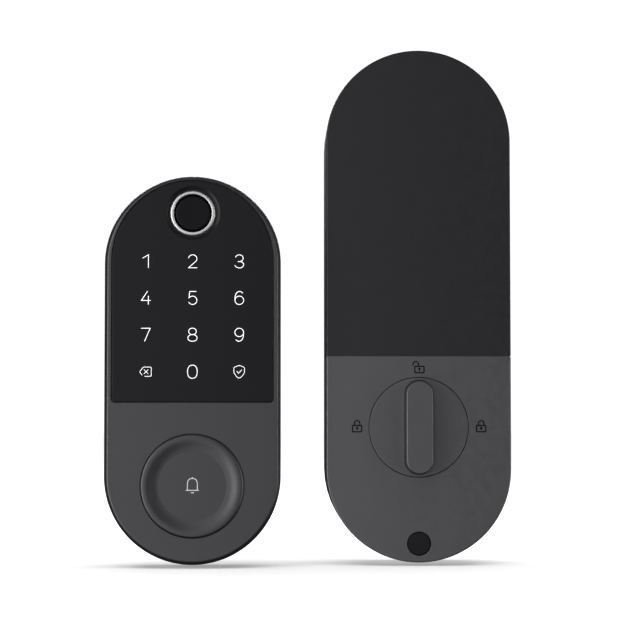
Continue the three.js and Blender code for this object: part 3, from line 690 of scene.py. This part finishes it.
def interior_housing():
    shell = interior_shell("lower_housing")
    cavity = interior_cavity()
    face_end = SEAM_LOW - RIDGE_HEIGHT
    boolean(shell, [slab("keep", BELOW, face_end)], "INTERSECT")
    boolean(cavity, [slab("keep", BELOW, face_end - WALL)], "INTERSECT")
    bore = prism("bore", interior, circle(0, TURN_Z, TURN_BORE), -PAST, INTERIOR_THROUGH)
    boolean(shell, [cavity, bore])
    tube = prism("tube", interior, circle(0, PLUG_Z, PLUG_TUBE, 64), PLUG_TUBE_START, INTERIOR_SHELL)
    ridge = seam_collar("ridge", RIDGE, SEAM_LOW - 2 * RIDGE_HEIGHT, SEAM_LOW)
    stop = seam_collar("stop", SEAM_INSET, face_end - 0.5, SEAM_HIGH - SEAM_SLIT)
    boolean(shell, [tube, ridge, stop], "UNION")
    plug_hole = circle(0, PLUG_Z, PLUG_BORE, 64)
    screw_hole = circle(0, PLUG_Z, SCREW_BORE, 32)
    boolean(
        shell,
        [
            prism("plug_hole", interior, plug_hole, -PAST, PLUG_BORE_DEPTH),
            prism("screw_hole", interior, screw_hole, SCREW_BORE_START, INTERIOR_SHELL + PAST),
        ],
    )
    soften(shell, width=0.14)
    finish_piece(shell, INTERIOR_PAINT.material, "lock", "grey_paint", "interior_housing")


def battery_cover():
    shell = interior_shell("upper_cover")
    boolean(shell, [interior_cavity(COVER_WALL, COVER_FACE)])
    rebate = prism("rebate", interior, stadium(interior, REBATE), REBATE, INTERIOR_SHELL + PAST)
    boolean(rebate, [slab("keep", 0, SEAM_HIGH + RIDGE_HEIGHT)], "INTERSECT")
    boolean(shell, [rebate])
    boolean(shell, [slab("keep", SEAM_HIGH, ABOVE)], "INTERSECT")
    front, back = LIP_DEPTHS
    lips = []
    for side in (-1, 1):
        inner, outer = (side * x for x in LIP_SIDES)
        corners = [(inner, front), (outer, front), (outer, back), (inner, back)]
        rings = [[interior.at(x, depth, z) for x, depth in corners] for z in LIP_HEIGHTS]
        lips.append(mesh_object("lip", loft(bmesh.new(), rings)))
    boolean(shell, lips, "UNION")
    soften(shell, width=0.14)
    finish_piece(shell, COVER_PLASTIC.material, "cover", "cover_black", "battery_cover")


SKIRT_FRONT, SKIRT_BACK = interior.depth(-0.00278), interior.depth(0.0012)
SKIRT_OUTSIDE, SKIRT_INSIDE = 2.8, 3.6  # insets from the unit's side
SKIRT_CUT = 20  # where the cut that hollows it starts, well in front of it


def rear_skirt():
    """Thin wall behind the chassis that closes the view through the joint with the base frame."""
    skirt = prism("rear_skirt", interior, stadium(interior, SKIRT_OUTSIDE), SKIRT_FRONT, SKIRT_BACK)
    inside = stadium(interior, SKIRT_INSIDE)
    boolean(skirt, [prism("inside", interior, inside, SKIRT_CUT, SKIRT_BACK + PAST)])
    soften(skirt, width=0)
    finish_piece(skirt, CHASSIS_PLASTIC.material, "lock", "dark_plastic")


# (radius, depth) profiles of the thumb turn's disc and of the plug
TURN_DISC = [
    (0, 0), (18.68, 0), (18.86, 0.05), (18.95, 0.22), (18.95, 3.3), (21, 3.3), (21, 4.8), (0, 4.8),
]
PLUG_FACE = [(0, 0.15), (3.8, 0.15), (4.1, 0.18), (4.25, 0.28), (4.3, 0.45)]
PLUG_CUP = [(4.3, 6), (3.2, 6), (3.2, 1.6), (0, 1.6)]
GRIP_LENGTH, GRIP_WIDTH = 35.4, 10.3
GRIP_TAPER = 0.16  # how much narrower its top is, on each side
GRIP_EDGE = 0.32
GROOVE_LENGTH, GROOVE_WIDTH, GROOVE_DEPTH = 36.2, 11.1, 1.5


def thumb_turn():
    disc = turned("turn_disc", interior, TURN_DISC, 0, TURN_Z, steps=160)
    top = interior.depth(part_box("thumb_turn")[0].y)
    edge = round_edge(GRIP_TAPER, top, GRIP_EDGE)[1:]
    grip = profiled(
        "turn_grip",
        interior,
        lambda inset: upright_slot(0, TURN_Z, GRIP_LENGTH - 2 * inset, GRIP_WIDTH - 2 * inset),
        [(0.0, 2.0), (0.0, 0.0), (GRIP_TAPER, top + GRIP_EDGE), *edge],
    )
    groove = upright_slot(0, TURN_Z, GROOVE_LENGTH, GROOVE_WIDTH)
    boolean(disc, [prism("groove", interior, groove, -PAST, GROOVE_DEPTH)])
    boolean(disc, [grip], "UNION")
    soften(disc, width=0.12, angle=60)
    disc.name = "turn_handle"
    finish_piece(disc, TURN_PAINT.material, "turn", "grey_paint", "thumb_turn")


def screw_plug():
    plug = turned("round_plug", interior, PLUG_FACE + PLUG_CUP, 0, PLUG_Z, steps=72)
    soften(plug, width=0, sharp=40)
    finish_piece(plug, PLUG_RUBBER.material, "plug", "rubber", "screw_plug")


interior_housing()
battery_cover()
rear_skirt()
thumb_turn()
screw_plug()

# ------------------------------------------------------------------ signs


def side_of(a, b):
    direction = (Vector(b) - Vector(a)).normalized()
    return Vector((-direction.y, direction.x))


def stroke(bm, unit, points, width, depth, closed=False, thick=0.06):
    """A flat ribbon of even width along the points, with round ends, standing a hair proud of its face."""
    count = len(points)
    half = width / 2
    left, right = [], []
    for i, point in enumerate(points):
        before = points[i - 1] if i or closed else None
        after = points[(i + 1) % count] if i + 1 < count or closed else None
        sides = []
        if before is not None:
            sides.append(side_of(before, point))
        if after is not None:
            sides.append(side_of(point, after))
        across = sum(sides, Vector((0, 0))).normalized()
        reach = half / max(0.4, across.dot(sides[0]))
        left.append(Vector(point) + across * reach)
        right.append(Vector(point) - across * reach)
    if closed:
        loops = [left, right]
    else:
        start = side_of(points[0], points[1])
        end = side_of(points[-2], points[-1])
        turn = math.degrees(math.atan2(end.y, end.x))
        tail = [Vector(p) for p in arc(*points[-1], half, turn, turn - HALF_TURN, 8)][1:-1]
        turn = math.degrees(math.atan2(-start.y, -start.x))
        head = [Vector(p) for p in arc(*points[0], half, turn, turn - HALF_TURN, 8)][1:-1]
        loops = [left + tail + right[::-1] + head]
    levels = (depth, depth + thick)
    made = [
        [[bm.verts.new(unit.at(p.x, level, p.y)) for p in loop] for level in levels]
        for loop in loops
    ]
    for front, back in made:
        for i in range(len(front)):
            j = (i + 1) % len(front)
            bm.faces.new((front[i], front[j], back[j], back[i]))
    if closed:
        for level in (0, 1):
            a, b = made[0][level], made[1][level]
            for i in range(count):
                j = (i + 1) % count
                bm.faces.new((a[i], a[j], b[j], b[i]))
    else:
        for level in (0, 1):
            ring = made[0][level]
            ends = len(tail)
            for i in range(count - 1):
                across = 2 * count + ends - 1 - i
                bm.faces.new((ring[i], ring[i + 1], ring[across - 1], ring[across]))
            bm.faces.new([ring[count - 1], *ring[count : count + ends], ring[count + ends]])
            bm.faces.new([ring[2 * count + ends - 1], *ring[2 * count + ends :], ring[0]])


def sign(name, unit, strokes, x, z, width, material, body, slot, depth=-0.02, size=1.0):
    bm = bmesh.new()
    for number, (points, closed) in enumerate(strokes):
        placed = [(x + px * size, z + pz * size) for px, pz in points]
        stroke(bm, unit, placed, width, depth - 0.004 * number, closed)
    obj = mesh_object(name, bm)
    finish_piece(obj, material, body, slot)


def rounded(points, radius, closed=True, steps=5):
    """The corners of a polygon, rounded."""
    out = []
    count = len(points)
    for i, point in enumerate(points):
        if not closed and i in (0, count - 1):
            out.append(point)
            continue
        p = Vector(point)
        a = Vector(points[i - 1]) - p
        b = Vector(points[(i + 1) % count]) - p
        reach = min(radius, a.length * 0.45, b.length * 0.45)
        start, end = p + a.normalized() * reach, p + b.normalized() * reach
        for j in range(steps + 1):
            t = j / steps
            out.append(tuple(start * (1 - t) ** 2 + p * 2 * t * (1 - t) + end * t * t))
    return out


def oval(x, z, wide, high, power=2.0, steps=56, start=0, sweep=FULL_TURN):
    """An oval of half width wide and half height high; a power over 2 makes it squarer."""
    out = []
    last = steps if abs(sweep) < FULL_TURN else steps - 1
    for i in range(last + 1):
        turn = math.radians(start + sweep * i / steps)
        c, s = math.cos(turn), math.sin(turn)
        out.append(
            (
                x + wide * math.copysign(abs(c) ** (2 / power), c),
                z + high * math.copysign(abs(s) ** (2 / power), s),
            )
        )
    return out


SIX = [
    (oval(0, -0.9, 1.68, 1.62), True),
    (oval(0.12, -0.3, 1.8, 2.82, 2.1, 30, 52, 118) + [(-1.68, -0.9)], False),
]
DIGITS = {
    "0": [(oval(0, 0, 1.86, 2.56, 2.35), True)],
    "1": [([(-1.22, 1.25), (0.95, 2.52), (0.95, -2.52)], False)],
    "2": [(oval(0, 0.98, 1.62, 1.56, 2, 30, 168, -200) + [(-1.6, -2.5), (1.68, -2.5)], False)],
    "3": [
        (oval(-0.02, 1.22, 1.5, 1.32, 2, 30, 160, -250) + [(-0.5, -0.1)], False),
        ([(-0.5, -0.1)] + oval(0, -1.3, 1.68, 1.24, 2.1, 30, 90, -258), False),
    ],
    "4": [([(0.62, 2.52), (-1.72, -1.0), (1.76, -1.0)], False), ([(0.98, 0.7), (0.98, -2.52)], False)],
    "5": [
        (
            [(1.36, 2.5), (-1.12, 2.5), (-1.38, 0.05)] + oval(0.02, -0.92, 1.64, 1.62, 2, 30, 138, -290),
            False,
        ),
    ],
    "6": SIX,
    "7": [([(-1.72, 2.5), (1.72, 2.5), (-0.42, -2.52)], False)],
    "8": [(oval(0, 1.3, 1.46, 1.24, 2.1), True), (oval(0, -1.24, 1.78, 1.3, 2.1), True)],
    "9": [([(-px, -pz) for px, pz in points], closed) for points, closed in SIX],
}
BACK_ARROW = [(-0.3, -1.8), (2.2, -1.8), (2.2, 1.8), (-0.9, 1.8), (-2.3, 0), (-1.3, -1.3)]
BACK_SIGN = [
    (rounded(BACK_ARROW, 0.45, False), False),
    ([(-0.55, 0.75), (0.95, -0.75)], False),
    ([(-0.55, -0.75), (0.95, 0.75)], False),
]
SHIELD = [
    (0, 2.5), (2.05, 1.7), (2.05, -0.4), (0.95, -2.0),
    (0, -2.5), (-0.95, -2.0), (-2.05, -0.4), (-2.05, 1.7),
]
SHIELD_SIGN = [
    (rounded(SHIELD, 0.5), True),
    ([(-0.95, 0.15), (-0.25, -0.6), (1.0, 0.7)], False),
]
KEYPAD_ROWS = (("1", "2", "3"), ("4", "5", "6"), ("7", "8", "9"), ("back", "0", "shield"))
ROW_Z = (113.95, 100.15, 86.3, 72.4)
COLUMN = 17.56  # between the keypad's columns
KEY_SIZE = 0.97  # the digits are drawn 5 mm high, then scaled
DIGIT_STROKE = 0.215
SIGN_STROKE = 0.17
BELL_STROKE = 0.3
BELL_DEPTH = 0.13  # a hair in front of the dish
PADLOCK_STROKE = 0.48
PADLOCK_Z = TURN_Z + 0.42  # of the two closed padlocks


def keypad_signs():
    for row, z in zip(KEYPAD_ROWS, ROW_Z):
        for place, key in zip((-1, 0, 1), row):
            shapes = {"back": BACK_SIGN, "shield": SHIELD_SIGN}.get(key) or DIGITS[key]
            width = DIGIT_STROKE if key in DIGITS else SIGN_STROKE
            sign(
                f"keypad_sign_{key}", exterior, shapes, place * COLUMN, z, width,
                DIGIT_PRINT.material, "lock", "white_plastic", size=KEY_SIZE,
            )


BELL_SIGN = [
    ([(-1.86, -1.95)] + oval(0, 0.35, 1.86, 2.15, 2.3, 40, 178, -176) + [(1.86, -1.95)], False),
    ([(-2.35, -1.95), (2.35, -1.95)], False),
    ([(0, 2.45), (0, 2.9)], False),
    ([(-0.45, -2.85), (0.45, -2.85)], False),
]
PADLOCK_BODY = [(-1.76, -2.15), (1.76, -2.15), (1.76, 0.27), (-1.76, 0.27)]
KEYHOLE = [([(0, -0.62), (0, -0.72)], False), ([(0, -0.66), (0, -1.35)], False)]
KEYHOLE_STROKES = (0.85, 0.42)
CLOSED_SIGN = [
    (rounded(PADLOCK_BODY, 0.3), True),
    ([(-1.04, 0.27)] + arc(0, 1.06, 1.04, HALF_TURN, 0, 14) + [(1.04, 0.27)], False),
]
OPEN_SIGN = [
    (rounded(PADLOCK_BODY, 0.3), True),
    ([(-0.4, 0.27)] + arc(-1.43, 1.06, 1.03, 0, 195, 16), False),
]


def other_signs():
    sign(
        "doorbell_sign", exterior, BELL_SIGN, 0.1, BELL_Z + 0.35, BELL_STROKE,
        BELL_PRINT_PAINTED_GLOW.material, "bell", "white_plastic", depth=BELL_DEPTH,
    )
    ink = DARK_PRINT.material
    for name, shapes, x, z in (
        ("unlocked_sign", OPEN_SIGN, 0.3, 74.5),
        ("locked_sign_left", CLOSED_SIGN, -23.6, PADLOCK_Z),
        ("locked_sign_right", CLOSED_SIGN, 23.85, PADLOCK_Z),
    ):
        sign(name, interior, shapes, x, z, PADLOCK_STROKE, ink, "lock", "dark_plastic")
        for part, width in zip(KEYHOLE, KEYHOLE_STROKES):
            sign(f"{name}_keyhole", interior, [part], x, z, width, ink, "lock", "dark_plastic")


keypad_signs()
other_signs()

# ------------------------------------------------------------------ pieces kept from the CAD

KEPT = {
    DARK_PLASTIC: ("exterior_back_plate", "doorbell_switch", "speaker", "interior_base"),
    CHASSIS_PLASTIC: ("interior_chassis",),
    RUBBER: ("exterior_gasket", "cable_grommet"),
    WHITE_PLASTIC: ("keypad_light_guide", "cable_socket", "output_gear", "idler_gear", "turn_bush"),
    BOARD: ("keypad_board", "exterior_board", "interior_board"),
    PLATE_STEEL: ("mounting_plate", "gear_plate", "tailpiece"),
    SPRING_STEEL: tuple(f"battery_spring_{i}" for i in (1, 2, 3, 4)),
    BRASS: ("mounting_post_left", "mounting_post_right", "motor_pinion"),
    STEEL: (
        "emergency_power_port", "turn_shaft", "idler_pin", "drive_motor",
        *(f"exterior_screw_{i}" for i in (1, 2, 3, 4)),
        *(f"fixing_screw_{i}" for i in (1, 2, 3)),
        *(f"gear_screw_{i}" for i in (1, 2, 3, 4)),
        *(f"battery_contact_{i}" for i in (1, 2, 3, 4, 5)),
    ),
}
BEVELLED = {  # width of the bevel, in mm
    "exterior_back_plate": 0.25, "interior_base": 0.35, "mounting_plate": 0.25, "gear_plate": 0.15,
    "exterior_gasket": 0.25, "tailpiece": 0.2, "cable_socket": 0.2, "interior_chassis": 0.2,
}


SHARP_EDGE = 28  # degrees between two faces from which their edge stays sharp
BEVEL_EDGE = 40  # and from which it is bevelled


def dress(node, shader):
    """Gives a CAD node its material, smooth shading and, where it is listed, bevelled edges."""
    obj = NODES[node]
    obj.data.materials.clear()
    obj.data.materials.append(shader.material)
    obj.data.polygons.foreach_set("use_smooth", [True] * len(obj.data.polygons))
    obj.data.set_sharp_from_angle(angle=math.radians(SHARP_EDGE))
    if node in BEVELLED:
        modifier = obj.modifiers.new("edges", "BEVEL")
        modifier.width = BEVELLED[node] * MM
        modifier.segments = 2
        modifier.limit_method = "ANGLE"
        modifier.angle_limit = math.radians(BEVEL_EDGE)


for shader, names in KEPT.items():
    for node_name in names:
        dress(node_name, shader)

# ------------------------------------------------------------------ batteries


def cell_finish(name, colour, roughness, metallic, smooth, rough):
    """The printed film round a cell."""
    s = Shader(name, colour, roughness, metallic)
    s.tint(s.noise(300, 3), 0.95, 1.05)
    s.vary_roughness(s.noise(200, 4), smooth, rough)
    s.bump(s.noise(500, 2), 0.004)
    return s


CELL_SLEEVE = cell_finish("cell_sleeve", (0.04, 0.13, 0.2), 0.28, 0.3, 0.22, 0.34)
CELL_BAND = cell_finish("cell_band", (0.55, 0.56, 0.56), 0.3, 0.6, 0.25, 0.36)
BAND, SLEEVE, BARE = range(3)  # a cell's materials
# (radius, distance from the flat end, material of the ring that starts there)
CELL_PROFILE = [
    (0, 0.12, BARE), (5.2, 0.12, BARE), (5.8, 0, BARE), (6.5, 0.05, BARE), (6.95, 0.35, SLEEVE),
    (7.1, 0.8, SLEEVE), (7.1, 37.0, SLEEVE), (7.1, 37.01, BAND), (7.1, 48.2, BAND), (6.95, 48.75, BAND),
    (6.5, 49.1, BAND), (6.1, 49.0, BARE), (5.9, 48.7, BARE), (3.3, 48.7, BARE), (2.95, 49.2, BARE),
    (2.7, 49.5, BARE), (2.65, 50.1, BARE), (2.4, 50.3, BARE), (0, 50.3, BARE),
]
CELL_STEPS = 64


def ring_faces(a, b):
    """The corners of the faces between two rings, of which either may be a single point."""
    for i in range(CELL_STEPS):
        j = (i + 1) % CELL_STEPS
        if len(a) == 1:
            yield a[0], b[j], b[i]
        elif len(b) == 1:
            yield a[i], a[j], b[0]
        else:
            yield a[i], a[j], b[j], b[i]


def battery(number):
    low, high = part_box(f"battery_{number}")
    upside_down = number % 2 == 0
    x, y = (low.x + high.x) / 2, (low.y + high.y) / 2
    start, sense = (high.z, -1) if upside_down else (low.z, 1)
    bm = bmesh.new()
    rings = []
    for radius, along, _ in CELL_PROFILE:
        z = start + sense * along * MM
        outline = circle(0, 0, radius, CELL_STEPS) if radius else [(0, 0)]
        rings.append([bm.verts.new((x + px * MM, y + py * MM, z)) for px, py in outline])
    for (_, _, finish), a, b in zip(CELL_PROFILE, rings, rings[1:]):
        for corners in ring_faces(a, b):
            bm.faces.new(corners).material_index = finish
    obj = mesh_object(f"cell_{number}", bm)
    for shader in (CELL_BAND, CELL_SLEEVE, STEEL):
        obj.data.materials.append(shader.material)
    obj.data.polygons.foreach_set("use_smooth", [True] * len(obj.data.polygons))
    obj.data.set_sharp_from_angle(angle=math.radians(40))
    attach(obj, "lock")
    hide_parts(f"battery_{number}")


for cell_number in (1, 2, 3, 4):
    battery(cell_number)

# ------------------------------------------------------------------ floor and light

FLOOR_SIZE = 12.0
FLOOR_Z = -0.0013  # the pair stands a hair clear of the floor
FLOOR_WHITE = (0.86, 0.86, 0.86)
# The floor glows faintly near the feet, and as brightly as the background further out.
FLOOR_GLOW = 0.305  # near the feet; it is 1 further out
FLOOR_NEAR = 0.08  # the distances, in metres, between which it rises
FLOOR_FAR = 0.16
FEET_Y = -0.1  # they are measured from here, a little in front of the feet
FEET_SPREAD = 0.5  # a distance across the row counts for this much of its length


def floor():
    bm = bmesh.new()
    half = FLOOR_SIZE / 2
    corners = [(-half, -half), (half, -half), (half, half), (-half, half)]
    bm.faces.new([bm.verts.new((x, y, FLOOR_Z)) for x, y in corners])
    s = Shader("pale_floor", FLOOR_WHITE, 0.8, 0.0, 0.0)
    s.tint(s.noise(3, 2), 0.99, 1.0)
    place = s.nodes.new("ShaderNodeMapping")
    place.inputs["Location"].default_value = (0, -FEET_Y, 0)
    place.inputs["Scale"].default_value = (FEET_SPREAD, 1, 1)
    s.links.new(s.coordinates, place.inputs["Vector"])
    reach = s.nodes.new("ShaderNodeVectorMath")
    reach.operation = "LENGTH"
    s.links.new(place.outputs["Vector"], reach.inputs[0])
    glow = s.ramp(reach.outputs["Value"], FLOOR_GLOW, 1.0, FLOOR_NEAR, FLOOR_FAR)
    s.set("Emission Color", (1, 1, 1, 1))
    s.links.new(glow, s.shader.inputs["Emission Strength"])
    obj = mesh_object("floor", bm, s.material)
    obj.visible_glossy = False
    obj.visible_diffuse = False
    obj.visible_shadow = False
    return obj


MIDDLE = Vector((0, exterior.front, 0.09))  # what the lights face
COOL = (0.985, 0.98, 1.03)


def area_light(name, bearing, height, distance, size, power, tall=None, colour=(1, 1, 1)):
    """A soft light that faces the pair.

    bearing is in degrees from straight in front, positive to the right, and height is its elevation in
    degrees. The light is size metres wide and tall metres high, or square."""
    data = bpy.data.lights.new(name, "AREA")
    data.shape = "RECTANGLE"
    data.size = size
    data.size_y = tall or size
    data.energy = power
    data.color = colour
    light = bpy.data.objects.new(name, data)
    bpy.context.scene.collection.objects.link(light)
    turn, lift = math.radians(bearing), math.radians(height)
    out = Vector((math.sin(turn) * math.cos(lift), -math.cos(turn) * math.cos(lift), math.sin(lift)))
    light.location = MIDDLE + out * distance
    light.rotation_euler = (-out).to_track_quat("-Z", "Y").to_euler()
    light.visible_camera = False
    return light


BACKGROUND_STRENGTH = 1.1  # of the white that the camera sees
AMBIENT_STRENGTH = 0.012  # of the light that it casts


def surroundings():
    world = bpy.data.worlds.new("studio")
    world.use_nodes = True
    bpy.context.scene.world = world
    nodes, links = world.node_tree.nodes, world.node_tree.links
    nodes.clear()
    output = nodes.new("ShaderNodeOutputWorld")
    seen, light = nodes.new("ShaderNodeBackground"), nodes.new("ShaderNodeBackground")
    seen.inputs["Color"].default_value = (1, 1, 1, 1)
    seen.inputs["Strength"].default_value = BACKGROUND_STRENGTH
    light.inputs["Color"].default_value = (0.96, 0.98, 1, 1)
    light.inputs["Strength"].default_value = AMBIENT_STRENGTH
    path = nodes.new("ShaderNodeLightPath")
    mix = nodes.new("ShaderNodeMixShader")
    links.new(path.outputs["Is Camera Ray"], mix.inputs["Fac"])
    links.new(light.outputs["Background"], mix.inputs[1])
    links.new(seen.outputs["Background"], mix.inputs[2])
    links.new(mix.outputs["Shader"], output.inputs["Surface"])


def spare(light, obj):
    """Keep a light off one object."""
    spared = bpy.data.collections.new("spared")
    spared.objects.link(obj)
    light.light_linking.receiver_collection = spared
    spared.collection_objects[0].light_linking.link_state = "EXCLUDE"


STAGE_FLOOR = floor()
surroundings()
bpy.context.scene.view_settings.view_transform = "Standard"
area_light("key_left", -49, -2, 1.2, 0.75, 10.2, 1.25, COOL)
area_light("front", -10, -2, 1.6, 0.6, 3.9, 2.3, COOL)
area_light("fill_right", 45, -2, 1.2, 0.3, 1.1, 0.9, COOL)
area_light("rim_right", 68, -2, 1.2, 0.25, 3.6, 0.9, COOL)
back_light = area_light("back", 180, 28, 1.3, 1.2, 16, 0.6, COOL)
spare(back_light, STAGE_FLOOR)
area_light("top_front", 0, 55, 1.4, 1.2, 5, 0.8).visible_glossy = False
area_light("top", 0, 90, 1.3, 2.0, 20.5).visible_glossy = False
